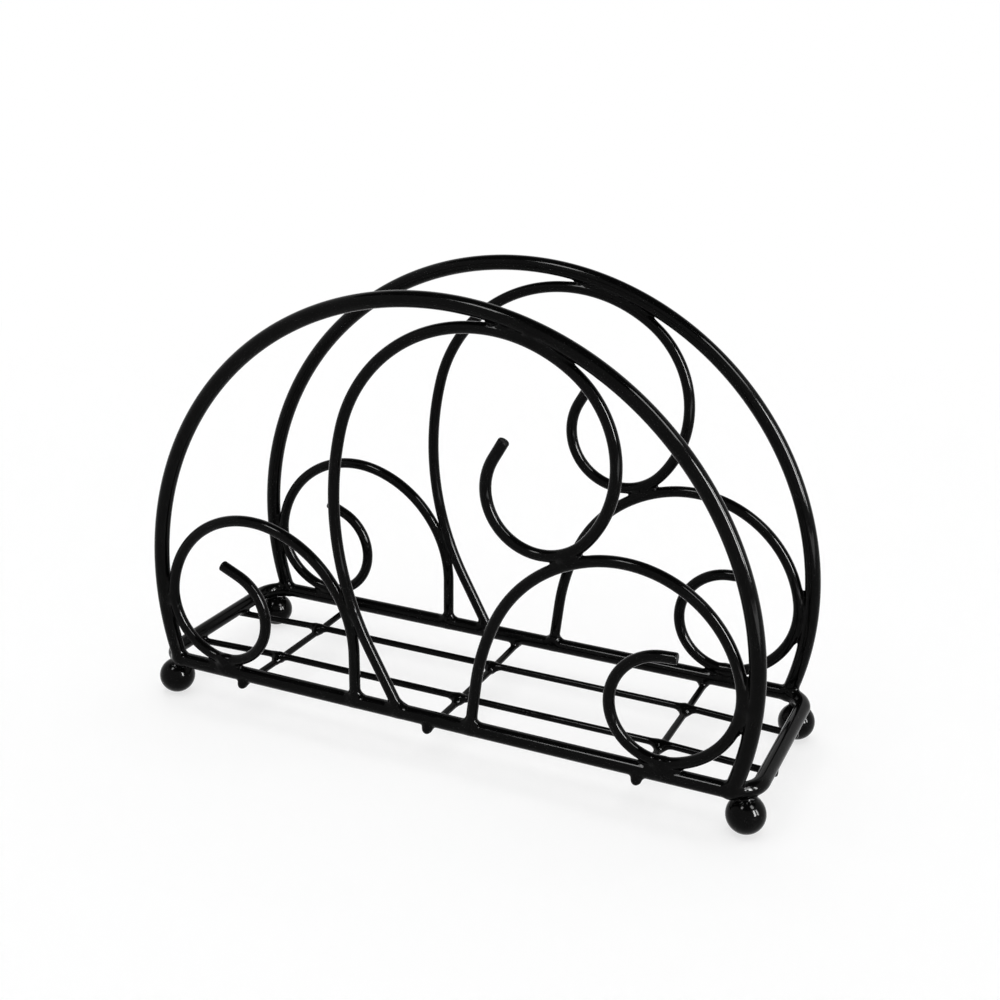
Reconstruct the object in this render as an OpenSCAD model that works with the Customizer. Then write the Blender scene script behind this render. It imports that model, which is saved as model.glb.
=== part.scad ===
// Napkin holder of welded round wire. Two arched panels filled with scrolls stand on a base frame,
// which carries a floor of thin wires and has a ball foot under each corner.
// X runs along the panels, Y from the front panel to the rear one, and Z up from the table.
// Inside a panel, places are [x, z] with z measured from the middle of the base frame wire.

/* [Wire] */
// Diameter of the wire of the base frame and of the arches
frame_d = 4.4; // [3.6:0.1:4.8]
// Diameter of the wire of the scrolls
scroll_d = 3.2; // [2.8:0.1:3.6]
// Diameter of the wire of the floor
floor_d = 2; // [1.6:0.1:2.4]
// Depth by which two wires sink into each other at a weld
weld_set = 0.35; // [0.2:0.05:0.45]

/* [Base] */
// Distance between the middles of the two panels
panel_gap = 59.2; // [50:0.2:70]
// Distance from an arch foot out to the middle of the short side next to it
end_reach = 5.2; // [4.6:0.2:8]
// Bend radius of the base frame at its corners
corner_r = 8; // [6:0.5:9]
// Diameter of a ball foot
ball_d = 10.6; // [8:0.2:14]
// Distance from the middle cross wire of the floor to the outer ones
cross_pitch = 61.5; // [50:0.5:72]
// Distance between the two long wires of the floor
long_pitch = 22.8; // [14:0.2:32]
// Offset of the middle cross wire from the middle of the base frame
cross_shift = -1; // [-3:0.5:3]
// Length of a floor wire's tip outside the base frame
tip_out = 0.4; // [0.2:0.1:2]
// Depth to which crossing floor wires sink into each other, as a share of their diameter
sink_share = 0.34; // [0.2:0.02:0.5]
// Share of the remaining height at a crossing that the long wires take by springing up
spring_share = 0.72; // [0.4:0.02:0.9]

/* [Arches] */
// Bend radius of the arches
arch_r = 90; // [86:0.5:96]
// Height of the arches' centre above the middle of the base frame wire
arch_lift = 27.8; // [24:0.2:32]

/* [Left scroll] */
// Distance from the middle of the panel to the foot of the leg
left_foot_x = 24.9; // [22:0.1:28]
// Bend radius of the knee above the leg
left_knee_r = 34.5; // [31:0.5:38]
// Bend radius of the bowl, which touches the arch
left_bowl_r = 18.5; // [17:0.5:20]
// Bend radius of the curl, which lies on the base frame
left_curl_r = 14.5; // [13:0.5:16]
// Length of the straight tail
left_tail = 6; // [3:0.5:10]
// Direction from the bend centres in which the knee passes into the shoulder, in degrees
left_knee_angle = 76.5; // [71:0.5:82]
// Direction from the bend centres in which the shoulder passes into the bowl, in degrees
left_shoulder_angle = 171; // [166:0.5:173]
// Direction from the bend centres in which the bowl passes into the curl, in degrees
left_bowl_angle = 254; // [250:0.5:256]
// Turn of the curl in degrees
left_curl_angle = 172; // [160:0.5:184]

/* [Centre scroll] */
// Lean of the straight leg from the X axis, in degrees
centre_lean_angle = 118.5; // [115:0.5:121]
// Bend radius of the stem above the leg, which touches the knee of the left scroll
stem_r = 87.5; // [80:0.5:95]
// Distance between the crown, which touches the arch, and the knee of the left scroll
crown_gap = 11.9; // [10.5:0.1:13.5]
// Place of the side's bend radius on the way from the bowl's to the crown's, as a share
side_share = 0.53; // [0.46:0.01:0.6]
// Bend radius of the bowl, which sits on the right scroll
centre_bowl_r = 16; // [14:0.5:18]
// Length of the straight tail
centre_tail = 6; // [3:0.5:10]
// Direction from the arch centre in which the crown touches the arch, in degrees
crown_angle = 72; // [69:0.5:75]
// Direction in which the bowl sits on the top bend of the right scroll, in degrees
perch_angle = 113.5; // [110:0.5:117]
// Direction from the centre of the bowl in which its bend ends, in degrees
centre_bowl_angle = -210; // [-222:0.5:-198]

/* [Right scroll] */
// Distance from the middle of the panel to the foot of the leg
right_foot_x = 11.7; // [9:0.1:14.5]
// Lean of the straight leg from the X axis, in degrees
right_lean_angle = 83.5; // [81:0.5:87]
// Bend radius of the shin above the leg
right_shin_r = 67; // [60:0.5:74]
// Bend radius of the top
right_top_r = 39.5; // [37:0.5:42]
// Bend radius of the bowl, which touches the arch
right_bowl_r = 22; // [20:0.5:24]
// Bend radius of the curl, which lies on the base frame
right_curl_r = 15; // [13:0.5:17]
// Length of the straight tail
right_tail = 3.5; // [2:0.5:8]
// Direction from the bend centres in which the shin passes into the top, in degrees
right_shin_angle = 155.5; // [150:0.5:161]
// Direction from the bend centres in which the top passes into the shoulder, in degrees
right_top_angle = 103.5; // [100:0.5:106]
// Direction from the bend centres in which the shoulder passes into the bowl, in degrees
right_shoulder_angle = 10; // [8:0.5:14]
// Direction from the bend centres in which the bowl passes into the curl, in degrees
right_bowl_angle = -74; // [-76:0.5:-70]
// Turn of the curl in degrees
right_curl_angle = 193.5; // [180:0.5:206]

/* [Hidden] */
$fn = 48;
coat = [0.05, 0.05, 0.055];

// Half the break at a joint between two stretches of one wire, and the size of the neck that bridges it
joint_gap = 0.05;
neck_step = 0.2;
neck_l = 1.2;

// Levels above the table
frame_z = ball_d + frame_d / 2 - weld_set;
floor_z = frame_z - (frame_d + floor_d) / 2 + weld_set;

// Places of the base frame, whose length is set to a whole number of small steps
frame_step = 0.01;
front_y = -panel_gap / 2;
rear_y = panel_gap / 2;
arch_foot_x = sqrt(pow(arch_r, 2) - pow(arch_lift - frame_d / 2, 2));
end_x = round((arch_foot_x + end_reach) / frame_step) * frame_step;
corner_x = end_x - corner_r;
corner_y = rear_y - corner_r;
ball_in = corner_r * (1 - cos(45));

// How far the middle of an arch foot and of a scroll leg run down into the base frame wire
arch_sink = 1;
leg_sink = 1.4;
leg_root_z = frame_d / 2 - leg_sink;
arch_foot_angle = asin((arch_lift - frame_d / 2 + arch_sink) / arch_r);

// Floor wires: level in the middle, where the long ones spring up and the cross ones down, sloped at the ends
tip_reach = frame_d / 2 + tip_out;
crossing_rise = floor_d * (1 - sink_share);
long_rise = crossing_rise * spring_share;
cross_drop = crossing_rise - long_rise;
long_level = cross_pitch + abs(cross_shift) + floor_d;
cross_level = long_pitch / 2 + floor_d;
cross_places = [cross_shift - cross_pitch, cross_shift, cross_shift + cross_pitch];

// Lines on which the middle of a scroll wire lies where it is welded
arch_c = [0, arch_lift];
in_arch_r = arch_r - (frame_d + scroll_d) / 2 + weld_set;
on_frame_z = (frame_d + scroll_d) / 2 - weld_set;
beside_d = scroll_d - weld_set;

function toward(angle) = [cos(angle), sin(angle)];
function angle_of(way) = atan2(way.y, way.x);

function on_bend(centre, r, angle) = centre + r * toward(angle);

// Centre of a bend of radius r that runs on smoothly, in direction angle, from a bend of radius r0 round c0
function next_centre(c0, r0, r, angle) = c0 + (r0 - r) * toward(angle);

// Radius of a bend that touches the arch in direction angle and lies outside the circle of radius r round c
function r_in_arch(angle, c, r) =
    let (way = on_bend(arch_c, in_arch_r, angle) - c)
    (way * way - r * r) / (2 * (way * toward(angle) + r));

// Height of a bowl whose curl lies on the base frame
function bowl_z(bowl_r, curl_r, angle) = on_frame_z + curl_r - (bowl_r - curl_r) * sin(angle);

// Distance from the middle of the panel to a bowl of height z that touches the arch
function bowl_x(bowl_r, z) = sqrt(pow(in_arch_r - bowl_r, 2) - pow(z - arch_lift, 2));

// Point at distance r1 from c1 and r2 from c2, to the left of the way from c1 to c2
function crossing(c1, r1, c2, r2) =
    let (
        way = c2 - c1,
        reach = norm(way),
        along = (r1 * r1 - r2 * r2 + reach * reach) / (2 * reach),
        aside = sqrt(r1 * r1 - along * along)
    )
    c1 + (along * way + aside * [-way.y, way.x]) / reach;

// Place on the line z = 0 to which a place slides along the given lean
function slid(place, lean) = place.x - place.y * cos(lean) / sin(lean);

// Radius of the bend that brings a leg to its foot. The leg would start at rest if that radius were zero,
// and turn is how its start moves with that radius.
function r_to_foot(foot, lean, rest, turn) = slid(foot - rest, lean) / slid(turn, lean);

// Straight leg that starts in the base frame wire and ends at top with the given lean
function leg_to(top, lean) = [top - toward(lean) * (top.y - leg_root_z) / sin(lean), top];

// Straight tail of a given length from a place in direction angle
function tail_from(start, angle, length) = [start, start + length * toward(angle)];

// Each bend of a scroll is [centre, radius, angle at its start, angle at its end], from the leg to the tail
// Left scroll
left_bowl_z = bowl_z(left_bowl_r, left_curl_r, left_bowl_angle);
left_bowl_c = [-bowl_x(left_bowl_r, left_bowl_z), left_bowl_z];
left_shoulder_r = r_to_foot(
    [-left_foot_x, leg_root_z],
    90,
    on_bend(left_bowl_c, left_bowl_r, left_shoulder_angle)
        + left_knee_r * (toward(0) - toward(left_knee_angle)),
    toward(left_knee_angle) - toward(left_shoulder_angle)
);
left_shoulder_c = next_centre(left_bowl_c, left_bowl_r, left_shoulder_r, left_shoulder_angle);
left_knee_c = next_centre(left_shoulder_c, left_shoulder_r, left_knee_r, left_knee_angle);
left_curl_c = next_centre(left_bowl_c, left_bowl_r, left_curl_r, left_bowl_angle);
left_tail_angle = left_bowl_angle + left_curl_angle;
left_knee = [left_knee_c, left_knee_r, 0, left_knee_angle];
left_bends = [
    left_knee,
    [left_shoulder_c, left_shoulder_r, left_knee_angle, left_shoulder_angle],
    [left_bowl_c, left_bowl_r, left_shoulder_angle, left_bowl_angle],
    [left_curl_c, left_curl_r, left_bowl_angle, left_tail_angle]
];
left_lines = [
    leg_to(on_bend(left_knee_c, left_knee_r, 0), 90),
    tail_from(on_bend(left_curl_c, left_curl_r, left_tail_angle), left_tail_angle + 90, left_tail)
];

// Right scroll
right_bowl_z = bowl_z(right_bowl_r, right_curl_r, right_bowl_angle);
right_bowl_c = [bowl_x(right_bowl_r, right_bowl_z), right_bowl_z];
right_leg_angle = right_lean_angle + 90;
right_shoulder_r = r_to_foot(
    [right_foot_x, leg_root_z],
    right_lean_angle,
    on_bend(right_bowl_c, right_bowl_r, right_shoulder_angle)
        + right_top_r * (toward(right_shin_angle) - toward(right_top_angle))
        + right_shin_r * (toward(right_leg_angle) - toward(right_shin_angle)),
    toward(right_top_angle) - toward(right_shoulder_angle)
);
right_shoulder_c = next_centre(right_bowl_c, right_bowl_r, right_shoulder_r, right_shoulder_angle);
right_top_c = next_centre(right_shoulder_c, right_shoulder_r, right_top_r, right_top_angle);
right_shin_c = next_centre(right_top_c, right_top_r, right_shin_r, right_shin_angle);
right_curl_c = next_centre(right_bowl_c, right_bowl_r, right_curl_r, right_bowl_angle);
right_tail_angle = right_bowl_angle - right_curl_angle;
right_top = [right_top_c, right_top_r, right_shin_angle, right_top_angle];
right_bends = [
    [right_shin_c, right_shin_r, right_leg_angle, right_shin_angle],
    right_top,
    [right_shoulder_c, right_shoulder_r, right_top_angle, right_shoulder_angle],
    [right_bowl_c, right_bowl_r, right_shoulder_angle, right_bowl_angle],
    [right_curl_c, right_curl_r, right_bowl_angle, right_tail_angle]
];
right_lines = [
    leg_to(on_bend(right_shin_c, right_shin_r, right_leg_angle), right_lean_angle),
    tail_from(on_bend(right_curl_c, right_curl_r, right_tail_angle), right_tail_angle - 90, right_tail)
];

// Centre scroll, whose crown touches the arch, its stem the left scroll and its bowl the right scroll
crown_r = r_in_arch(crown_angle, left_knee_c, left_knee_r + beside_d + crown_gap);
crown_c = next_centre(arch_c, in_arch_r, crown_r, crown_angle);
side_r = centre_bowl_r + side_share * (crown_r - centre_bowl_r);
centre_bowl_c = on_bend(right_top_c, right_top_r + beside_d + centre_bowl_r, perch_angle);
side_c = crossing(crown_c, crown_r - side_r, centre_bowl_c, side_r - centre_bowl_r);
stem_c = crossing(crown_c, stem_r - crown_r, left_knee_c, stem_r + beside_d + left_knee_r);
centre_leg_angle = centre_lean_angle + 90;
stem_angle = (angle_of(crown_c - stem_c) + 360) % 360;
crown_end_angle = angle_of(side_c - crown_c);
side_angle = angle_of(centre_bowl_c - side_c);
centre_bends = [
    [stem_c, stem_r, centre_leg_angle, stem_angle],
    [crown_c, crown_r, stem_angle, crown_end_angle],
    [side_c, side_r, crown_end_angle, side_angle],
    [centre_bowl_c, centre_bowl_r, side_angle, centre_bowl_angle]
];
centre_lines = [
    leg_to(on_bend(stem_c, stem_r, centre_leg_angle), centre_lean_angle),
    tail_from(on_bend(centre_bowl_c, centre_bowl_r, centre_bowl_angle), centre_bowl_angle - 90, centre_tail)
];

// Round wire bent round centre [x, z], upright in the plane y = 0
module bent_wire(centre, r, from, to, d) {
    translate([centre.x, 0, centre.y])
        rotate([90, 0, 0])
            rotate([0, 0, from])
                rotate_extrude(angle = to - from)
                    translate([r, 0])
                        circle(d = d);
}

// Straight round wire between two places [x, z], upright in the plane y = 0
module straight_wire(start, end, d) {
    translate([start.x, 0, start.y])
        rotate([0, 90 - angle_of(end - start), 0])
            cylinder(h = norm(end - start), d = d);
}

// One bend of a scroll, cut short at both ends by the break at a joint
module stretch(bend, d) {
    trim = joint_gap / bend[1] * 180 / PI;
    bent_wire(bend[0], bend[1], min(bend[2], bend[3]) + trim, max(bend[2], bend[3]) - trim, d);
}

// Straight length of wire, cut short at both ends by the break at a joint
module run(line, d) {
    trim = joint_gap * toward(angle_of(line[1] - line[0]));
    straight_wire(line[0] + trim, line[1] - trim, d);
}

// Neck across the break at a joint, square to the direction angle and thinner than the wire by a hair
module joint_neck(place, angle, d) {
    translate([place.x, 0, place.y])
        rotate([0, -angle, 0])
            cylinder(h = neck_l, d = d - neck_step, center = true);
}

// Wire of several bends and straight lengths, joined by necks
module wire_chain(bends, lines, d) {
    for (bend = bends) {
        stretch(bend, d);
        joint_neck(on_bend(bend[0], bend[1], bend[2]), bend[2], d);
    }
    last = bends[len(bends) - 1];
    joint_neck(on_bend(last[0], last[1], last[3]), last[3], d);
    for (line = lines) run(line, d);
}

module arch_wire() {
    bent_wire(arch_c, arch_r, -arch_foot_angle, 180 + arch_foot_angle, frame_d);
}

module in_panel(y) {
    translate([0, y, frame_z]) children();
}

module long_side(y) {
    in_panel(y) straight_wire([-corner_x, 0], [corner_x, 0], frame_d);
}

module short_side(x) {
    translate([x, 0, frame_z])
        rotate([90, 0, 0])
            cylinder(h = 2 * corner_y, d = frame_d, center = true);
}

module frame_corner(side_x, side_y) {
    mirror([side_x < 0 ? 1 : 0, 0, 0])
        mirror([0, side_y < 0 ? 1 : 0, 0])
            translate([corner_x, corner_y, frame_z])
                rotate_extrude(angle = 90)
                    translate([corner_r, 0])
                        circle(d = frame_d);
}

module frame_wire() {
    for (y = [front_y, rear_y]) long_side(y);
    for (x = [-end_x, end_x]) short_side(x);
    for (side_x = [-1, 1], side_y = [-1, 1]) frame_corner(side_x, side_y);
}

// Floor wire along X at the height rise as far as level, sloping down from there to its place under a side
module sprung_rod(level, side, rise) {
    knee = [level, rise];
    slope = toward(angle_of([side, 0] - knee));
    run([[-level, rise], knee], floor_d);
    for (end = [0, 1]) mirror([end, 0, 0]) {
        run([knee, [side, 0] + tip_reach * slope], floor_d);
        joint_neck(knee, 90, floor_d);
    }
}

module long_rod(y) {
    translate([0, y, floor_z]) sprung_rod(long_level, end_x, long_rise);
}

module cross_rod(x) {
    translate([x, 0, floor_z]) rotate([0, 0, 90]) sprung_rod(cross_level, rear_y, -cross_drop);
}

// Pieces, each cut to seat on the wire that carries it
module base_frame() {
    color(coat) frame_wire();
}

module cross_wire(x) {
    color(coat) difference() {
        cross_rod(x);
        for (y = [front_y, rear_y]) long_side(y);
    }
}

module long_wire(y) {
    color(coat) difference() {
        long_rod(y);
        for (x = cross_places) cross_rod(x);
        for (x = [-end_x, end_x]) short_side(x);
    }
}

module ball_foot(side_x, side_y) {
    color(coat) difference() {
        translate([side_x * (end_x - ball_in), side_y * (rear_y - ball_in), ball_d / 2])
            sphere(d = ball_d);
        frame_corner(side_x, side_y);
    }
}

module arch(y) {
    color(coat) difference() {
        in_panel(y) arch_wire();
        frame_wire();
    }
}

module left_scroll(y) {
    color(coat) difference() {
        in_panel(y) wire_chain(left_bends, left_lines, scroll_d);
        in_panel(y) arch_wire();
        long_side(y);
    }
}

module right_scroll(y) {
    color(coat) difference() {
        in_panel(y) wire_chain(right_bends, right_lines, scroll_d);
        in_panel(y) arch_wire();
        long_side(y);
    }
}

module centre_scroll(y) {
    color(coat) difference() {
        in_panel(y) wire_chain(centre_bends, centre_lines, scroll_d);
        in_panel(y) arch_wire();
        in_panel(y) stretch(left_knee, scroll_d);
        in_panel(y) stretch(right_top, scroll_d);
        long_side(y);
    }
}

base_frame();
cross_wire(cross_places[0]);  // left_cross_wire
cross_wire(cross_places[1]);  // middle_cross_wire
cross_wire(cross_places[2]);  // right_cross_wire
long_wire(-long_pitch / 2);  // front_long_wire
long_wire(long_pitch / 2);  // rear_long_wire
ball_foot(-1, -1);  // front_left_foot
ball_foot(1, -1);  // front_right_foot
ball_foot(-1, 1);  // rear_left_foot
ball_foot(1, 1);  // rear_right_foot
arch(front_y);  // front_arch
left_scroll(front_y);  // front_left_scroll
centre_scroll(front_y);  // front_centre_scroll
right_scroll(front_y);  // front_right_scroll
arch(rear_y);  // rear_arch
left_scroll(rear_y);  // rear_left_scroll
centre_scroll(rear_y);  // rear_centre_scroll
right_scroll(rear_y);  // rear_right_scroll
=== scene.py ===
"""Looks of the wire napkin holder: coated wires, ball feet and the coat that fills in their welds."""
import itertools
import math

import bpy
import numpy as np
from mathutils import Matrix, Vector


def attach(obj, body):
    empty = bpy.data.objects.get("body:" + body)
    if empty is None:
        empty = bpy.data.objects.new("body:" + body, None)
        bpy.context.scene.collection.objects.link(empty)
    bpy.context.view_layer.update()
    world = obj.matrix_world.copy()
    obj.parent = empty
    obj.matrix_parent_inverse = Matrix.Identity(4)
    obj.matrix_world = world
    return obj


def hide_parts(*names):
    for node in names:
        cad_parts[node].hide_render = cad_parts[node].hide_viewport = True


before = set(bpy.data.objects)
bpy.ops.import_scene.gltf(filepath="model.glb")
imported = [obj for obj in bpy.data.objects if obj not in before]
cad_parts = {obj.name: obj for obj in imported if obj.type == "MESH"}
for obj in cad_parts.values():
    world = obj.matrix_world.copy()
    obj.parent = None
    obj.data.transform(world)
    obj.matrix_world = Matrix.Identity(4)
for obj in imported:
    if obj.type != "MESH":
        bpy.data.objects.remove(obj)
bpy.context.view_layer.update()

# Sizes in millimetres and angles in degrees, as in the part's source
MM = 0.001
FRAME_D, SCROLL_D, FLOOR_D = 4.4, 3.2, 2.0
WELD_SET = 0.35
PANEL_GAP, CORNER_R, BALL_D = 59.2, 8.0, 10.6
CROSS_PITCH, LONG_PITCH, CROSS_SHIFT = 61.5, 22.8, -1.0
TIP_OUT, SINK_SHARE, SPRING_SHARE, LEG_SINK = 0.4, 0.34, 0.72, 1.4
ARCH_R, ARCH_LIFT, END_X = 90.0, 27.8, 91.48
LEFT = dict(foot_x=-24.9, knee_r=34.5, bowl_r=18.5, curl_r=14.5, tail=6.0,
            knee=76.5, shoulder=171.0, bowl=254.0, curl=172.0)
CENTRE = dict(lean=118.5, stem_r=87.5, crown_gap=11.9, side_share=0.53, bowl_r=16.0, tail=6.0,
              crown=72.0, perch=113.5, bowl=-210.0)
RIGHT = dict(foot_x=11.7, lean=83.5, shin_r=67.0, top_r=39.5, bowl_r=22.0, curl_r=15.0, tail=3.5,
             shin=155.5, top=103.5, shoulder=10.0, bowl=-74.0, curl=193.5)

FRAME_Z = BALL_D + FRAME_D / 2 - WELD_SET
FLOOR_Z = FRAME_Z - (FRAME_D + FLOOR_D) / 2 + WELD_SET
PANEL_Y = PANEL_GAP / 2
IN_ARCH_R = ARCH_R - (FRAME_D + SCROLL_D) / 2 + WELD_SET
ON_FRAME_Z = (FRAME_D + SCROLL_D) / 2 - WELD_SET
BESIDE_D = SCROLL_D - WELD_SET
LEG_ROOT_Z = FRAME_D / 2 - LEG_SINK
TIP_REACH = FRAME_D / 2 + TIP_OUT

# Rings and sides of the wires and balls
RING_STEP = 0.8
SIDES = {FRAME_D: 32, SCROLL_D: 28, FLOOR_D: 20}
BALL_SIDES, BALL_INSET = 48, 0.01
# Round ends: their rings, radii at tails and tips, and the room that they take on the path in radii
ROUND_RINGS = 5
TAIL_ROUND, TIP_ROUND = 0.45, 0.75
ROUND_ROOM = 1.3
# How much shorter the long floor wires are at each end, and the least gap kept between points there
END_SHORT, LEAST_GAP = 0.9, 0.01


def toward(angle):
    a = math.radians(angle)
    return np.array([math.cos(a), math.sin(a)])


def angle_of(way):
    return math.degrees(math.atan2(way[1], way[0]))


def next_centre(c0, r0, r, angle):
    """Centre of a bend of radius r that runs on smoothly, in direction angle, from a bend of radius r0."""
    return c0 + (r0 - r) * toward(angle)


def crossing(c1, r1, c2, r2):
    """Point at distance r1 from c1 and r2 from c2, to the left of the way from c1 to c2."""
    way = c2 - c1
    reach = math.hypot(*way)
    along = (r1 * r1 - r2 * r2 + reach * reach) / (2 * reach)
    aside = math.sqrt(r1 * r1 - along * along)
    return c1 + (along * way + aside * np.array([-way[1], way[0]])) / reach


def slid(place, lean):
    """Place along X at which a leg of this lean through the place would come down to z = 0."""
    return place[0] - place[1] / math.tan(math.radians(lean))


def r_to_foot(foot, lean, rest, turn):
    """Radius of the bend that brings a leg to its foot."""
    return slid(foot - rest, lean) / slid(turn, lean)


def bowl_centre(s, side):
    """Centre of a bowl that touches the arch and whose curl lies on the base frame."""
    z = ON_FRAME_Z + s["curl_r"] - (s["bowl_r"] - s["curl_r"]) * toward(s["bowl"])[1]
    return np.array([side * math.sqrt((IN_ARCH_R - s["bowl_r"]) ** 2 - (z - ARCH_LIFT) ** 2), z])


def bend_points(bend):
    centre, r, start, end = bend
    count = max(2, math.ceil(abs(math.radians(end - start)) * r / RING_STEP))
    a = np.radians(np.linspace(start, end, count + 1))
    return centre + r * np.c_[np.cos(a), np.sin(a)]


def line_points(start, end):
    start, end = np.asarray(start, float), np.asarray(end, float)
    count = max(1, math.ceil(np.linalg.norm(end - start) / RING_STEP))
    return start + np.linspace(0, 1, count + 1)[:, None] * (end - start)


def joined(runs):
    """One path through runs of points, each of which starts where the last one ends."""
    return np.vstack([runs[0]] + [run[1:] for run in runs[1:]])


def scroll_path(bends, lean, tail, turn):
    """Path of a scroll from the root of its straight leg, through its bends, to the end of its tail."""
    first, last = bends[0], bends[-1]
    top = first[0] + first[1] * toward(first[2])
    root = top - toward(lean) * (top[1] - LEG_ROOT_Z) / toward(lean)[1]
    end = last[0] + last[1] * toward(last[3])
    runs = [line_points(root, top)] + [bend_points(b) for b in bends]
    return joined(runs + [line_points(end, end + tail * toward(last[3] + turn))])


def panel_paths():
    """Paths [x, z] of the wires of one panel, with z above the middle of the base frame wire."""
    s = LEFT
    bowl_c = bowl_centre(s, -1)
    at_knee, at_shoulder = toward(s["knee"]), toward(s["shoulder"])
    rest = bowl_c + s["bowl_r"] * at_shoulder + s["knee_r"] * (toward(0) - at_knee)
    foot = np.array([s["foot_x"], LEG_ROOT_Z])
    shoulder_r = r_to_foot(foot, 90, rest, at_knee - at_shoulder)
    shoulder_c = next_centre(bowl_c, s["bowl_r"], shoulder_r, s["shoulder"])
    knee_c = next_centre(shoulder_c, shoulder_r, s["knee_r"], s["knee"])
    curl_c = next_centre(bowl_c, s["bowl_r"], s["curl_r"], s["bowl"])
    left = scroll_path([
        (knee_c, s["knee_r"], 0, s["knee"]),
        (shoulder_c, shoulder_r, s["knee"], s["shoulder"]),
        (bowl_c, s["bowl_r"], s["shoulder"], s["bowl"]),
        (curl_c, s["curl_r"], s["bowl"], s["bowl"] + s["curl"]),
    ], 90, s["tail"], 90)

    s = RIGHT
    bowl_c = bowl_centre(s, 1)
    at_top, at_shin, at_shoulder = toward(s["top"]), toward(s["shin"]), toward(s["shoulder"])
    leg = s["lean"] + 90
    rest = (bowl_c + s["bowl_r"] * at_shoulder + s["top_r"] * (at_shin - at_top)
            + s["shin_r"] * (toward(leg) - at_shin))
    foot = np.array([s["foot_x"], LEG_ROOT_Z])
    shoulder_r = r_to_foot(foot, s["lean"], rest, at_top - at_shoulder)
    shoulder_c = next_centre(bowl_c, s["bowl_r"], shoulder_r, s["shoulder"])
    top_c = next_centre(shoulder_c, shoulder_r, s["top_r"], s["top"])
    shin_c = next_centre(top_c, s["top_r"], s["shin_r"], s["shin"])
    curl_c = next_centre(bowl_c, s["bowl_r"], s["curl_r"], s["bowl"])
    right = scroll_path([
        (shin_c, s["shin_r"], leg, s["shin"]),
        (top_c, s["top_r"], s["shin"], s["top"]),
        (shoulder_c, shoulder_r, s["top"], s["shoulder"]),
        (bowl_c, s["bowl_r"], s["shoulder"], s["bowl"]),
        (curl_c, s["curl_r"], s["bowl"], s["bowl"] - s["curl"]),
    ], s["lean"], s["tail"], -90)

    s = CENTRE
    arch_c = np.array([0, ARCH_LIFT])
    out = toward(s["crown"])
    clear = LEFT["knee_r"] + BESIDE_D + s["crown_gap"]
    way = arch_c + IN_ARCH_R * out - knee_c
    crown_r = (way @ way - clear * clear) / (2 * (way @ out + clear))
    crown_c = next_centre(arch_c, IN_ARCH_R, crown_r, s["crown"])
    side_r = s["bowl_r"] + s["side_share"] * (crown_r - s["bowl_r"])
    bowl_c = top_c + (RIGHT["top_r"] + BESIDE_D + s["bowl_r"]) * toward(s["perch"])
    side_c = crossing(crown_c, crown_r - side_r, bowl_c, side_r - s["bowl_r"])
    stem_c = crossing(crown_c, s["stem_r"] - crown_r, knee_c, s["stem_r"] + BESIDE_D + LEFT["knee_r"])
    stem_end = angle_of(crown_c - stem_c) % 360
    crown_end = angle_of(side_c - crown_c)
    side_end = angle_of(bowl_c - side_c)
    centre = scroll_path([
        (stem_c, s["stem_r"], s["lean"] + 90, stem_end),
        (crown_c, crown_r, stem_end, crown_end),
        (side_c, side_r, crown_end, side_end),
        (bowl_c, s["bowl_r"], side_end, s["bowl"]),
    ], s["lean"], s["tail"], -90)

    sink = math.degrees(math.asin(ARCH_LIFT / ARCH_R))
    arch = bend_points((arch_c, ARCH_R, 180 + sink, -sink))
    return {"arch": arch, "left_scroll": left, "centre_scroll": centre, "right_scroll": right}


def upright(path, y):
    return np.c_[path[:, 0], np.full(len(path), y), path[:, 1] + FRAME_Z]


def frame_path():
    """Closed path of the base frame, a rectangle with round corners."""
    x, y = END_X - CORNER_R, PANEL_Y - CORNER_R
    turns = [((x, y), 0), ((-x, y), 90), ((-x, -y), 180), ((x, -y), 270)]
    bends = [bend_points((np.array(c), CORNER_R, a, a + 90)) for c, a in turns]
    runs = []
    for bend, after in zip(bends, bends[1:] + bends[:1]):
        runs += [bend, line_points(bend[-1], after[0])]
    loop = joined(runs)[:-1]
    return np.c_[loop, np.full(len(loop), FRAME_Z)]


def sprung(level, side, rise):
    """Path [along, z] of a floor wire: level in the middle and sloped to its welds and tips."""
    slope = rise / (side - level)
    tip = side + TIP_REACH
    return joined([
        line_points((-tip, FLOOR_Z - slope * TIP_REACH), (-level, FLOOR_Z + rise)),
        line_points((-level, FLOOR_Z + rise), (level, FLOOR_Z + rise)),
        line_points((level, FLOOR_Z + rise), (tip, FLOOR_Z - slope * TIP_REACH)),
    ])


def floor_paths():
    rise = FLOOR_D * (1 - SINK_SHARE)
    up = rise * SPRING_SHARE
    long_level = CROSS_PITCH + abs(CROSS_SHIFT) + FLOOR_D
    cross_level = LONG_PITCH / 2 + FLOOR_D
    paths = {}
    for name, y in (("front", -LONG_PITCH / 2), ("rear", LONG_PITCH / 2)):
        run = sprung(long_level, END_X, up)
        paths[name + "_long_wire"] = np.c_[run[:, 0], np.full(len(run), y), run[:, 1]]
    for name, place in (("left", -1), ("middle", 0), ("right", 1)):
        run = sprung(cross_level, PANEL_Y, up - rise)
        x = CROSS_SHIFT + place * CROSS_PITCH
        paths[name + "_cross_wire"] = np.c_[np.full(len(run), x), run]
    return paths


def lengths_along(path):
    """Length of a path from its start to each of its points."""
    return np.r_[0, np.cumsum(np.linalg.norm(np.diff(path, axis=0), axis=1))]


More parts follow.
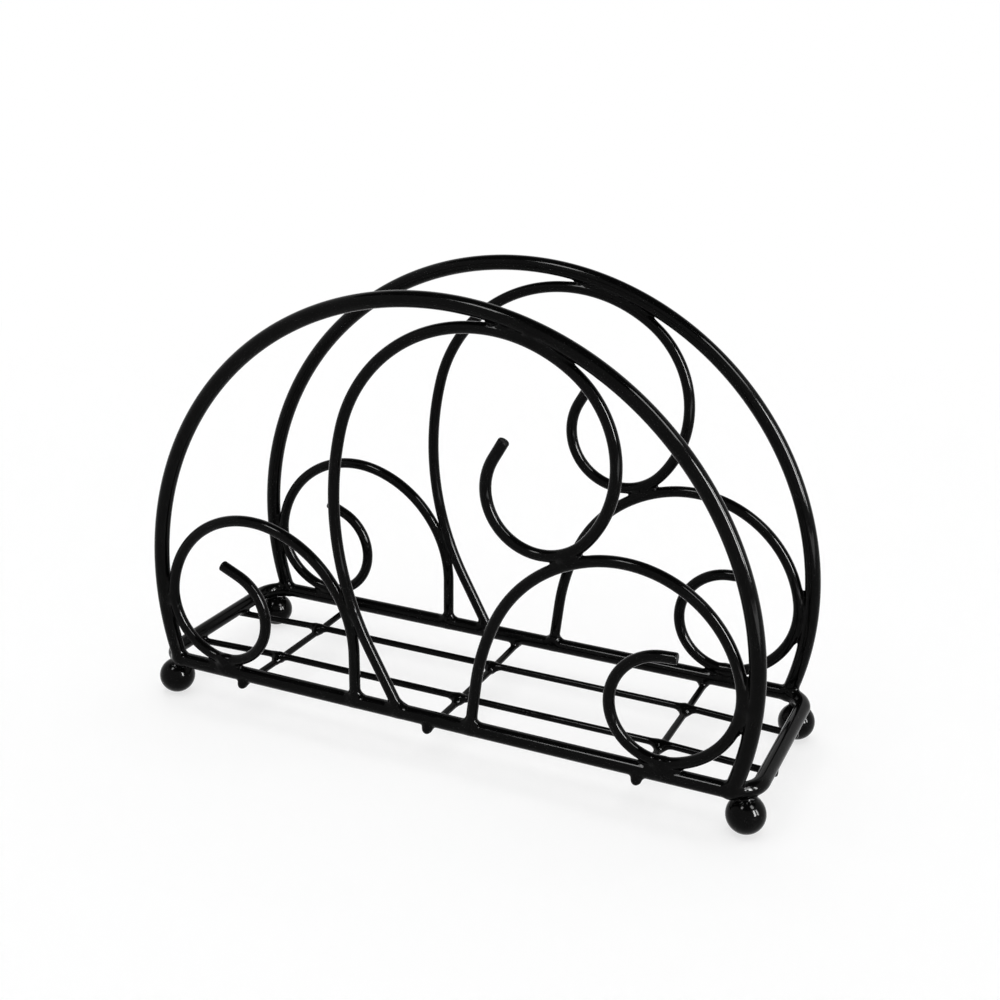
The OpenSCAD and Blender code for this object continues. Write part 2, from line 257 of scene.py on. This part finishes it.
def tube(path, d, flat, closed, end_round):
    """Round wire of diameter d along a path that lies in a plane square to flat."""
    r, sides = d / 2, SIDES[d]
    if closed:
        way = np.roll(path, -1, 0) - np.roll(path, 1, 0)
        centres, radii = path, np.full(len(path), r)
    else:
        reach = lengths_along(path)
        room = end_round * ROUND_ROOM
        inner = path[(reach > room) & (reach < reach[-1] - room)]
        turn = np.linspace(math.pi / 2, 0, ROUND_RINGS)
        back, slim = end_round * (1 - np.sin(turn)), end_round * (1 - np.cos(turn))
        start, end = path[1] - path[0], path[-2] - path[-1]
        start, end = start / np.linalg.norm(start), end / np.linalg.norm(end)
        head, foot = path[0] + back[:, None] * start, path[-1] + back[:, None] * end
        centres = np.vstack([head, inner, foot[::-1]])
        radii = np.r_[r - slim, np.full(len(inner), r), (r - slim)[::-1]]
        way = np.gradient(centres, axis=0)
        way[:ROUND_RINGS], way[-ROUND_RINGS:] = start, -end
    way /= np.linalg.norm(way, axis=1)[:, None]
    flat = np.asarray(flat, float)
    side = np.cross(flat, way)
    a = np.arange(sides) * 2 * math.pi / sides
    ring = np.cos(a)[None, :, None] * side[:, None, :] + np.sin(a)[None, :, None] * flat
    verts = (centres[:, None, :] + radii[:, None, None] * ring).reshape(-1, 3)
    rows = len(centres)
    faces = []
    for i in range(rows if closed else rows - 1):
        here, there = i * sides, (i + 1) % rows * sides
        for j in range(sides):
            k = (j + 1) % sides
            faces.append((here + j, here + k, there + k, there + j))
    if not closed:
        base = len(verts)
        verts = np.vstack([verts, centres[0], centres[-1]])
        last = (rows - 1) * sides
        for j in range(sides):
            k = (j + 1) % sides
            faces.append((base, k, j))
            faces.append((base + 1, last + j, last + k))
    return verts, faces


def ball(centre, d):
    """Ball of a foot as rings of quads round the Z axis, closed at both poles."""
    sides, rows = BALL_SIDES, BALL_SIDES // 2
    a = np.arange(sides) * 2 * math.pi / sides
    tilt = np.linspace(0, math.pi, rows + 1)[1:-1]
    rings = np.stack([np.outer(np.sin(tilt), np.cos(a)), np.outer(np.sin(tilt), np.sin(a)),
                      np.outer(np.cos(tilt), np.ones(sides))], 2).reshape(-1, 3)
    verts = np.vstack([rings, [0, 0, 1], [0, 0, -1]]) * (d / 2 - BALL_INSET) + centre
    top, low, last = len(rings), len(rings) + 1, (rows - 2) * sides
    faces = []
    for j in range(sides):
        k = (j + 1) % sides
        faces.append((top, j, k))
        faces.append((low, last + k, last + j))
        for i in range(rows - 2):
            here, there = i * sides, (i + 1) * sides
            faces.append((here + j, there + j, there + k, here + k))
    return verts, faces


# Welds: the coat fills the crease between two wires, and a bead swells where they lie side by side
FILL_REACH, FILL_INSET = 1.1, 0.01
NEAR_REACH, STRETCH_MORE = 2.4, 6
SIDE_BY_SIDE = 0.6
# Each weld is meshed on a grid, in blocks of cells, and its points then settle on the true surface
NET_STEP, NET_BLOCK, BLOCK_CARE = 0.2, 4, 3
NET_MARGIN = 2 * NET_STEP
SETTLE_ROUNDS, SETTLE_NUDGE, LEAST_STEEP = 3, 0.02, 0.25
CHUNK = 20000
# Unevenness of the weld: waves of about one length in random directions
LUMP_SHARE, LUMP_MOST = 0.22, 0.05
LUMP_SIZE, LUMP_SPREAD = 1.9, (0.6, 1.4)
LUMP_WAVES, LUMP_SEED, LUMP_CALM = 7, 7, 3
# Reach of the fillet, then the bead's reach, tallness, height, shift to the second wire and shift out
NO_BEAD = 0.5, 0.5, 0.0, 0.0, 0.0
WELDS = {
    "foot": (1.3, *NO_BEAD),
    "cross": (3.0, *NO_BEAD),
    "tip": (2.0, 2.4, 2.4, 0.5, 0.0, 0.0),
    "end": (1.6, *NO_BEAD),
    "heel": (1.2, *NO_BEAD),
    "root": (2.0, *NO_BEAD),
    "seat": (1.5, 3.2, 4.6, 0.75, 0.8, 1.0),
    "side": (1.2, 2.6, 3.2, 0.5, 0.0, 0.6),
}
rng = np.random.default_rng(LUMP_SEED)
LUMP_WAYS = rng.normal(size=(LUMP_WAVES, 3))
LUMP_WAYS *= (2 * math.pi / LUMP_SIZE * rng.uniform(*LUMP_SPREAD, LUMP_WAVES)
              / np.linalg.norm(LUMP_WAYS, axis=1))[:, None]
LUMP_PHASES = rng.uniform(0, 2 * math.pi, LUMP_WAVES)


def lumps(places):
    """Smooth uneven field between about -1 and 1."""
    return np.sin(places @ LUMP_WAYS.T + LUMP_PHASES).sum(1) / LUMP_CALM


def distance(places, line):
    """Distance from each place to a line of points."""
    if len(line) == 1:
        return np.linalg.norm(places - line[0], axis=1)
    start, way = line[:-1], np.diff(line, axis=0)
    length = (way * way).sum(1)
    out = np.empty(len(places))
    for i in range(0, len(places), CHUNK):
        gap = places[i:i + CHUNK, None] - start
        share = np.clip((gap * way).sum(2) / length, 0, 1)
        gap -= share[..., None] * way
        out[i:i + CHUNK] = np.sqrt((gap * gap).sum(2).min(1))
    return out


def fill_field(places, one, two, k, bead):
    """Below zero inside the coat and bead in the weld of two wires (line, radius)."""
    d1 = distance(places, one[0]) - one[1]
    d2 = distance(places, two[0]) - two[1]
    apart = np.abs(d1 - d2)
    share = np.clip(1 - apart / k, 0, None)
    fill = share * share * k / 4
    off = bead_off(places, bead)
    swell = np.clip(1 - off * off, 0, None)
    fill += bead["height"] * swell * swell
    fill += np.minimum(LUMP_SHARE * fill, LUMP_MOST) * lumps(places)
    edge = np.minimum(apart - FILL_REACH * k, (off - 1) * bead["reach"])
    return np.maximum(np.minimum(d1, d2) - fill + FILL_INSET, edge)


def bead_off(places, bead):
    """Distance from a bead's middle as a share of its reach, or of its tallness between the wires."""
    gap = places - bead["centre"]
    along = gap @ bead["axis"]
    aside = np.clip((gap * gap).sum(1) - along * along, 0, None)
    return np.sqrt(aside / bead["reach"] ** 2 + along * along / bead["tall"] ** 2)


def net(field, low, count):
    """Quads over the surface where a field on a grid passes through zero, one point in each mixed cell."""
    inside = field < 0
    cells = [c - 1 for c in count]
    votes = sum(inside[i:i + cells[0], j:j + cells[1], k:k + cells[2]].astype(int)
                for i, j, k in itertools.product((0, 1), repeat=3))
    mixed = (votes > 0) & (votes < 8)
    number = np.full(mixed.shape, -1)
    number[mixed] = np.arange(mixed.sum())
    points = low + (np.argwhere(mixed) + 0.5) * NET_STEP
    quads = []
    for axis in range(3):
        u, v = (axis + 1) % 3, (axis + 2) % 3
        lower = np.take(inside, range(count[axis] - 1), axis)
        upper = np.take(inside, range(1, count[axis]), axis)
        at = np.argwhere(lower != upper)
        rising = lower[tuple(at.T)]
        du, dv = np.eye(3, dtype=int)[u], np.eye(3, dtype=int)[v]
        ring = [number[tuple((at - step).T)] for step in (0 * du, du, du + dv, dv)]
        quad = np.stack(ring, 1)
        quad[rising] = quad[rising][:, ::-1]
        quads.append(quad)
    return points, np.vstack(quads)[:, ::-1]


def fill_grid(low, count, weld):
    """Field of a weld on a grid, exact near its surface and of the right sign elsewhere."""
    coarse = [-(-c // NET_BLOCK) for c in count]
    blocks = np.stack(np.meshgrid(*[np.arange(c) for c in coarse], indexing="ij"), -1).reshape(-1, 3)
    half = (NET_BLOCK - 1) / 2 * NET_STEP
    rough = fill_field(low + blocks * NET_BLOCK * NET_STEP + half, *weld)
    field = rough.reshape(coarse)
    for axis in range(3):
        field = np.repeat(field, NET_BLOCK, axis)
    near = np.abs(field) < (half + NET_STEP) * BLOCK_CARE
    field[near] = fill_field(low + np.argwhere(near) * NET_STEP, *weld)
    return field


def fill_mesh(weld):
    """Closed mesh of a weld between the near stretches of two wires."""
    one, two, k, bead = weld
    margin = FILL_REACH * k + NET_MARGIN
    low = np.maximum(one[0].min(0) - one[1], two[0].min(0) - two[1]) - margin
    high = np.minimum(one[0].max(0) + one[1], two[0].max(0) + two[1]) + margin
    around = bead["tall"] + NET_MARGIN
    low, high = np.minimum(low, bead["centre"] - around), np.maximum(high, bead["centre"] + around)
    count = [-(-math.ceil(s / NET_STEP) // NET_BLOCK) * NET_BLOCK for s in high - low]
    points, quads = net(fill_grid(low, count, weld), low, count)
    for _ in range(SETTLE_ROUNDS):
        here = fill_field(points, *weld)
        ahead = [fill_field(points + SETTLE_NUDGE * e, *weld) - here for e in np.eye(3)]
        slope = np.stack(ahead, 1) / SETTLE_NUDGE
        steep = np.clip((slope * slope).sum(1), LEAST_STEEP, None)
        points = points - np.clip(here / steep, -NET_STEP, NET_STEP)[:, None] * slope
    return points, [tuple(q) for q in quads.tolist()]


def bead_of(one, two, kind):
    """Bead of weld metal of two wires that lie side by side, or drop of coat on the tip of a floor wire."""
    _, reach, tall, height, shift, out = WELDS[kind]
    i = distance(one[0], two[0]).argmin()
    j = np.linalg.norm(two[0] - one[0][i], axis=1).argmin()
    way = two[0][j] - one[0][i]
    axis = way / np.linalg.norm(way)
    centre = one[0][i] + way * one[1] / (one[1] + two[1]) + shift * axis - [0, out, 0]
    if kind == "tip":
        ends = two[0][[0, -1]]
        centre = ends[np.linalg.norm(ends - centre, axis=1).argmin()]
    return dict(centre=centre, axis=axis, reach=reach, tall=tall, height=height)


def kind_of(one, two, beside):
    """Kind of weld between two named wires, which may lie side by side."""
    if "_foot" in two:
        return "foot"
    if "_wire" in one:
        return "cross"
    if "_wire" in two:
        return "tip" if "cross" in two else "end"
    if not beside:
        return "heel" if "arch" in two else "root"
    return "seat" if one == "base_frame" else "side"


def welds_of(wires, one, two):
    """Near stretches of two named wires, their fillet and bead, for each place where they touch."""
    line1, r1 = wires[one]
    line2, r2 = wires[two]
    gaps = distance(line1, line2)
    near = np.flatnonzero(gaps < r1 + r2 + NEAR_REACH)
    if len(near) == 0:
        return
    for run in np.split(near, np.flatnonzero(np.diff(near) > 1) + 1):
        least = gaps[run].min()
        if least > r1 + r2:
            continue
        part1 = line1[max(0, run[0] - STRETCH_MORE):run[-1] + STRETCH_MORE + 1]
        beside = np.flatnonzero(distance(line2, part1) < r1 + r2 + NEAR_REACH)
        part2 = line2[max(0, beside[0] - STRETCH_MORE):beside[-1] + STRETCH_MORE + 1]
        kind = kind_of(one, two, least > (r1 + r2) * SIDE_BY_SIDE)
        pair = (part1, r1), (part2, r2)
        yield *pair, WELDS[kind][0], bead_of(*pair, kind)


def merged(meshes):
    """One mesh of several."""
    verts, faces, base = [], [], 0
    for v, f in meshes:
        verts.append(v)
        faces += [tuple(i + base for i in face) for face in f]
        base += len(v)
    return np.vstack(verts), faces


def smooth_object(name, verts, faces, material):
    """Smooth object of a mesh in metres, in the scene."""
    data = bpy.data.meshes.new(name)
    data.from_pydata(verts, [], faces)
    data.polygons.foreach_set("use_smooth", [True] * len(data.polygons))
    data.materials.append(material)
    data.update()
    obj = bpy.data.objects.new(name, data)
    bpy.context.scene.collection.objects.link(obj)
    return obj


def piece(name, mesh, material, nodes=()):
    """Object of a mesh in millimetres that rides on the part and stands for the given nodes."""
    verts, faces = mesh
    obj = smooth_object(name, (verts * MM).tolist(), faces, material)
    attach(obj, "root")
    for node in nodes:
        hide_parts(node)


# Coat: level of its gloss, then noises (scale per metre and detail) and what they vary
SPECULAR_LEVEL = 0.06
NOISE_LOW, NOISE_HIGH = 0.3, 0.7
TONE_NOISE, TONE_STOPS = (130, 3), ((0.35, 0.0008), (0.7, 0.002))
GLOSS_NOISE, GLOSS_RANGE = (220, 3), (0.07, 0.15)
PEEL_NOISE, PEEL_STRENGTH, PEEL_DEPTH = (900, 2), 0.25, 0.00003
SAG_NOISE, SAG_STRENGTH, SAG_DEPTH = (170, 1), 0.3, 0.00012


def add_node(tree, kind, **values):
    """New shader node with the given inputs and settings."""
    made = tree.nodes.new(kind)
    for key, value in values.items():
        if key in made.inputs:
            made.inputs[key].default_value = value
        else:
            setattr(made, key, value)
    return made


def noise(tree, place, scale, detail):
    made = add_node(tree, "ShaderNodeTexNoise", Scale=scale, Detail=detail)
    tree.links.new(place, made.inputs["Vector"])
    return made.outputs["Fac"]


def map_range(tree, from_low, from_high, low, high, **settings):
    """Node that maps one range to another."""
    made = add_node(tree, "ShaderNodeMapRange", **settings)
    for key, value in (("From Min", from_low), ("From Max", from_high), ("To Min", low), ("To Max", high)):
        made.inputs[key].default_value = value
    return made


def ramp(tree, value, low, high):
    """Maps the middle half of a noise to the range from low to high."""
    made = map_range(tree, NOISE_LOW, NOISE_HIGH, low, high)
    tree.links.new(value, made.inputs["Value"])
    return made.outputs["Result"]


def coat_material():
    """Smooth glossy black coat with slight unevenness of tone, gloss and surface."""
    material = bpy.data.materials.new("black_coat")
    material.use_nodes = True
    tree = material.node_tree
    shader = tree.nodes["Principled BSDF"]
    shader.inputs["Specular IOR Level"].default_value = SPECULAR_LEVEL
    place = add_node(tree, "ShaderNodeTexCoord").outputs["Object"]
    tone = add_node(tree, "ShaderNodeValToRGB")
    for i, (position, grey) in enumerate(TONE_STOPS):
        tone.color_ramp.elements[i].position = position
        tone.color_ramp.elements[i].color = (grey, grey, grey, 1)
    tree.links.new(noise(tree, place, *TONE_NOISE), tone.inputs["Fac"])
    tree.links.new(tone.outputs["Color"], shader.inputs["Base Color"])
    gloss = ramp(tree, noise(tree, place, *GLOSS_NOISE), *GLOSS_RANGE)
    tree.links.new(gloss, shader.inputs["Roughness"])
    peel = add_node(tree, "ShaderNodeBump", Strength=PEEL_STRENGTH, Distance=PEEL_DEPTH)
    tree.links.new(noise(tree, place, *PEEL_NOISE), peel.inputs["Height"])
    sag = add_node(tree, "ShaderNodeBump", Strength=SAG_STRENGTH, Distance=SAG_DEPTH)
    tree.links.new(noise(tree, place, *SAG_NOISE), sag.inputs["Height"])
    tree.links.new(peel.outputs["Normal"], sag.inputs["Normal"])
    tree.links.new(sag.outputs["Normal"], shader.inputs["Normal"])
    return material


def shortened(path, trim):
    """The path without a length trim at each end, so that a round end there stays inside the wire."""
    reach = lengths_along(path)
    ends = [[np.interp(at, reach, path[:, i]) for i in range(3)] for at in (trim, reach[-1] - trim)]
    inner = path[(reach > trim + LEAST_GAP) & (reach < reach[-1] - trim - LEAST_GAP)]
    return np.vstack([ends[:1], inner, ends[1:]])


def build_wires(material):
    """The wires and balls, each standing for its node. Returns their lines and radii."""
    wires = {}
    loop = frame_path()
    piece("base_frame_wire", tube(loop, FRAME_D, (0, 0, 1), True, 0), material, ["base_frame"])
    wires["base_frame"] = (np.vstack([loop, loop[:1]]), FRAME_D / 2)
    for name, path in floor_paths().items():
        flat = (0, 1, 0) if "long" in name else (1, 0, 0)
        if "long" in name:
            path = shortened(path, END_SHORT)
        piece(name.replace("wire", "rod"), tube(path, FLOOR_D, flat, False, TIP_ROUND), material, [name])
        wires[name] = (shortened(path, FLOOR_D / 2), FLOOR_D / 2)
    for side, y in (("front", -PANEL_Y), ("rear", PANEL_Y)):
        for name, path in panel_paths().items():
            d = FRAME_D if name == "arch" else SCROLL_D
            line = upright(path, y)
            full = side + "_" + name
            piece(full + "_wire", tube(line, d, (0, 1, 0), False, TAIL_ROUND), material, [full])
            wires[full] = (line, d / 2)
    inset = CORNER_R * (1 - math.sqrt(0.5))
    for side, row in (("front", -1), ("rear", 1)):
        for end, column in (("left", -1), ("right", 1)):
            centre = np.array([column * (END_X - inset), row * (PANEL_Y - inset), BALL_D / 2])
            full = side + "_" + end + "_foot"
            piece(full + "_ball", ball(centre, BALL_D), material, [full])
            wires[full] = (centre[None, :], BALL_D / 2)
    return wires


def mirrored(mesh):
    """The same mesh on the other side of the plane midway between the panels."""
    verts, faces = mesh
    return verts * [1, -1, 1], [face[::-1] for face in faces]


def weld_group(names):
    """Name of the piece that takes the welds of two named wires."""
    if "foot" in names:
        return "foot_welds"
    return "floor_welds" if "_wire" in names else "panel_welds"


def build_welds(wires, material):
    """Welds of the front half, and the same for the rear half, which mirrors it."""
    groups = {"panel_welds": [], "floor_welds": [], "foot_welds": []}
    for one, two in itertools.combinations(wires, 2):
        names = one + " " + two
        if "rear" in names or len(wires[one][0]) == 1:
            continue
        for weld in welds_of(wires, one, two):
            if weld[0][0].mean(0)[1] < 0:
                groups[weld_group(names)].append(fill_mesh(weld))
    for name, meshes in groups.items():
        front = merged(meshes)
        piece("front_" + name, front, material)
        piece("rear_" + name, mirrored(front), material)


# Camera fitted to the photo, in metres, degrees and millimetres of film
CAMERA_PLACE = Vector((0.16011, -0.33789, 0.20172))
CAMERA_AZIMUTH, CAMERA_ELEVATION, CAMERA_ROLL = 24.498, 19.705, 0.799
CAMERA_LENS, CAMERA_SENSOR, CAMERA_CLIP = 50.48, 36, 0.01


def seen_from(azimuth, elevation):
    """Direction that leads from the object to an azimuth, counted from the front, and an elevation."""
    az, el = math.radians(azimuth), math.radians(elevation)
    return Vector((math.sin(az) * math.cos(el), -math.cos(az) * math.cos(el), math.sin(el)))


def add_camera():
    az, roll = math.radians(CAMERA_AZIMUTH), math.radians(CAMERA_ROLL)
    back = seen_from(CAMERA_AZIMUTH, CAMERA_ELEVATION)
    right = Vector((math.cos(az), math.sin(az), 0))
    up = back.cross(right)
    across = math.cos(roll) * right + math.sin(roll) * up
    above = -math.sin(roll) * right + math.cos(roll) * up
    data = bpy.data.cameras.new("camera")
    data.lens, data.sensor_width, data.clip_start = CAMERA_LENS, CAMERA_SENSOR, CAMERA_CLIP
    obj = bpy.data.objects.new("camera", data)
    turn = Matrix((across, above, back)).transposed()
    obj.matrix_world = Matrix.Translation(CAMERA_PLACE) @ turn.to_4x4()
    bpy.context.scene.collection.objects.link(obj)
    bpy.context.scene.camera = obj


# Cards seen in the gloss alone: azimuth, elevation, distance, width and height in degrees, radiance
CARDS = {
    "window": (70, 20, 0.85, 8, 27, 150.0),
    "side_pane": (87, 17, 0.85, 6, 24, 100.0),
    "softbox": (77, 48, 0.6, 14, 17, 38.0),
    "front_card": (-24, 55, 1.9, 10, 12, 45.0),
}
AIM = Vector((0, 0, 0.06))
# Strip of bright floor beside the object, seen in the gloss of the rails and the upright wires
STRIP_PLACE, STRIP_SIZE, STRIP_RADIANCE = Vector((0.8, -0.22, 0.001)), (1.1, 0.2), 8.0
# One large soft lamp overhead gives the plain light that colours and the floor are seen in
OVERHEAD_Z, OVERHEAD_SIZE, OVERHEAD_RADIANCE = 2.4, 3.0, 2.2
WORLD_LIGHT = 0.12


def add_lamp(name, place, way, width, height, radiance):
    """Area lamp of a given size and brightness at a place, facing against way."""
    data = bpy.data.lights.new(name, "AREA")
    data.shape = "RECTANGLE"
    data.size, data.size_y = width, height
    data.energy = radiance * math.pi * width * height
    obj = bpy.data.objects.new(name, data)
    obj.matrix_world = Matrix.Translation(place) @ way.to_track_quat("Z", "Y").to_matrix().to_4x4()
    obj.visible_camera = False
    bpy.context.scene.collection.objects.link(obj)
    return obj


def add_lights():
    for name, (azimuth, elevation, reach, width, height, radiance) in CARDS.items():
        way = seen_from(azimuth, elevation)
        across, tall = (2 * reach * math.tan(math.radians(a / 2)) for a in (width, height))
        add_lamp(name, AIM + reach * way, way, across, tall, radiance).visible_diffuse = False
    up = Vector((0, 0, 1))
    add_lamp("floor_strip", STRIP_PLACE, -up, *STRIP_SIZE, STRIP_RADIANCE).visible_diffuse = False
    overhead = add_lamp("overhead", OVERHEAD_Z * up, up, OVERHEAD_SIZE, OVERHEAD_SIZE, OVERHEAD_RADIANCE)
    overhead.visible_glossy = False
    world = bpy.data.worlds.new("world")
    bpy.context.scene.world = world
    world.use_nodes = True
    sky = world.node_tree.nodes["Background"]
    sky.inputs["Color"].default_value = (1, 1, 1, 1)
    sky.inputs["Strength"].default_value = WORLD_LIGHT


# Floor and wall in metres, rings at shares of the floor's radius, and steps of the bend between them
STAGE_SIDES, FLOOR_R, WALL_R, WALL_Z = 96, 2.2, 3.0, 3.0
FLOOR_RINGS = 0.05, 0.1, 0.2, 0.4, 0.7, 1.0
COVE_STEPS = 8
# Paint of the stage, and how white it shows at two distances from the object, nearer and further
PAINT = (0.95, 0.95, 0.95, 1)
SHADOW_NEAR, SHADOW_FAR, WHITE_NEAR, WHITE_FAR = 0.2, 0.6, 0.7, 1.0


def stage_material(name):
    """White surface that shows as plain white away from the object and keeps its shadow near it."""
    material = bpy.data.materials.new(name)
    material.use_nodes = True
    tree = material.node_tree
    tree.nodes.remove(tree.nodes["Principled BSDF"])
    paint = add_node(tree, "ShaderNodeBsdfDiffuse", Color=PAINT)
    glow = add_node(tree, "ShaderNodeEmission", Color=(1, 1, 1, 1), Strength=1.0)
    path = add_node(tree, "ShaderNodeLightPath")
    seen = add_node(tree, "ShaderNodeMath", operation="ADD")
    tree.links.new(path.outputs["Is Camera Ray"], seen.inputs[0])
    tree.links.new(path.outputs["Is Glossy Ray"], seen.inputs[1])
    shown = add_node(tree, "ShaderNodeMath", operation="ADD", use_clamp=True)
    tree.links.new(seen.outputs[0], shown.inputs[0])
    tree.links.new(path.outputs["Is Transmission Ray"], shown.inputs[1])
    reach = add_node(tree, "ShaderNodeVectorMath", operation="LENGTH")
    tree.links.new(add_node(tree, "ShaderNodeTexCoord").outputs["Object"], reach.inputs[0])
    ranges = SHADOW_NEAR, SHADOW_FAR, WHITE_NEAR, WHITE_FAR
    share = map_range(tree, *ranges, interpolation_type="SMOOTHSTEP")
    tree.links.new(reach.outputs["Value"], share.inputs["Value"])
    factor = add_node(tree, "ShaderNodeMath", operation="MULTIPLY")
    tree.links.new(shown.outputs[0], factor.inputs[0])
    tree.links.new(share.outputs["Result"], factor.inputs[1])
    mix = add_node(tree, "ShaderNodeMixShader")
    tree.links.new(factor.outputs[0], mix.inputs["Fac"])
    tree.links.new(paint.outputs[0], mix.inputs[1])
    tree.links.new(glow.outputs[0], mix.inputs[2])
    tree.links.new(mix.outputs[0], tree.nodes["Material Output"].inputs["Surface"])
    return material


def add_stage():
    """White floor that rises into a round wall far from the object."""
    sides, cove_r = STAGE_SIDES, WALL_R - FLOOR_R
    profile = [(FLOOR_R * share, 0.0) for share in FLOOR_RINGS]
    for step in range(1, COVE_STEPS + 1):
        a = step / COVE_STEPS * math.pi / 2
        profile.append((FLOOR_R + cove_r * math.sin(a), cove_r * (1 - math.cos(a))))
    profile.append((WALL_R, WALL_Z))
    verts, faces = [(0, 0, 0)], []
    for r, z in profile:
        verts += [(r * math.cos(a), r * math.sin(a), z) for a in np.arange(sides) * 2 * math.pi / sides]
    for j in range(sides):
        k = (j + 1) % sides
        faces.append((0, 1 + j, 1 + k))
        for i in range(len(profile) - 1):
            here, there = 1 + i * sides, 1 + (i + 1) * sides
            faces.append((here + j, there + j, there + k, here + k))
    obj = smooth_object("studio_floor", verts, faces, stage_material("studio_white"))


bpy.context.scene.view_settings.view_transform = "Standard"
coat = coat_material()
build_welds(build_wires(coat), coat)
add_stage()
add_camera()
add_lights()
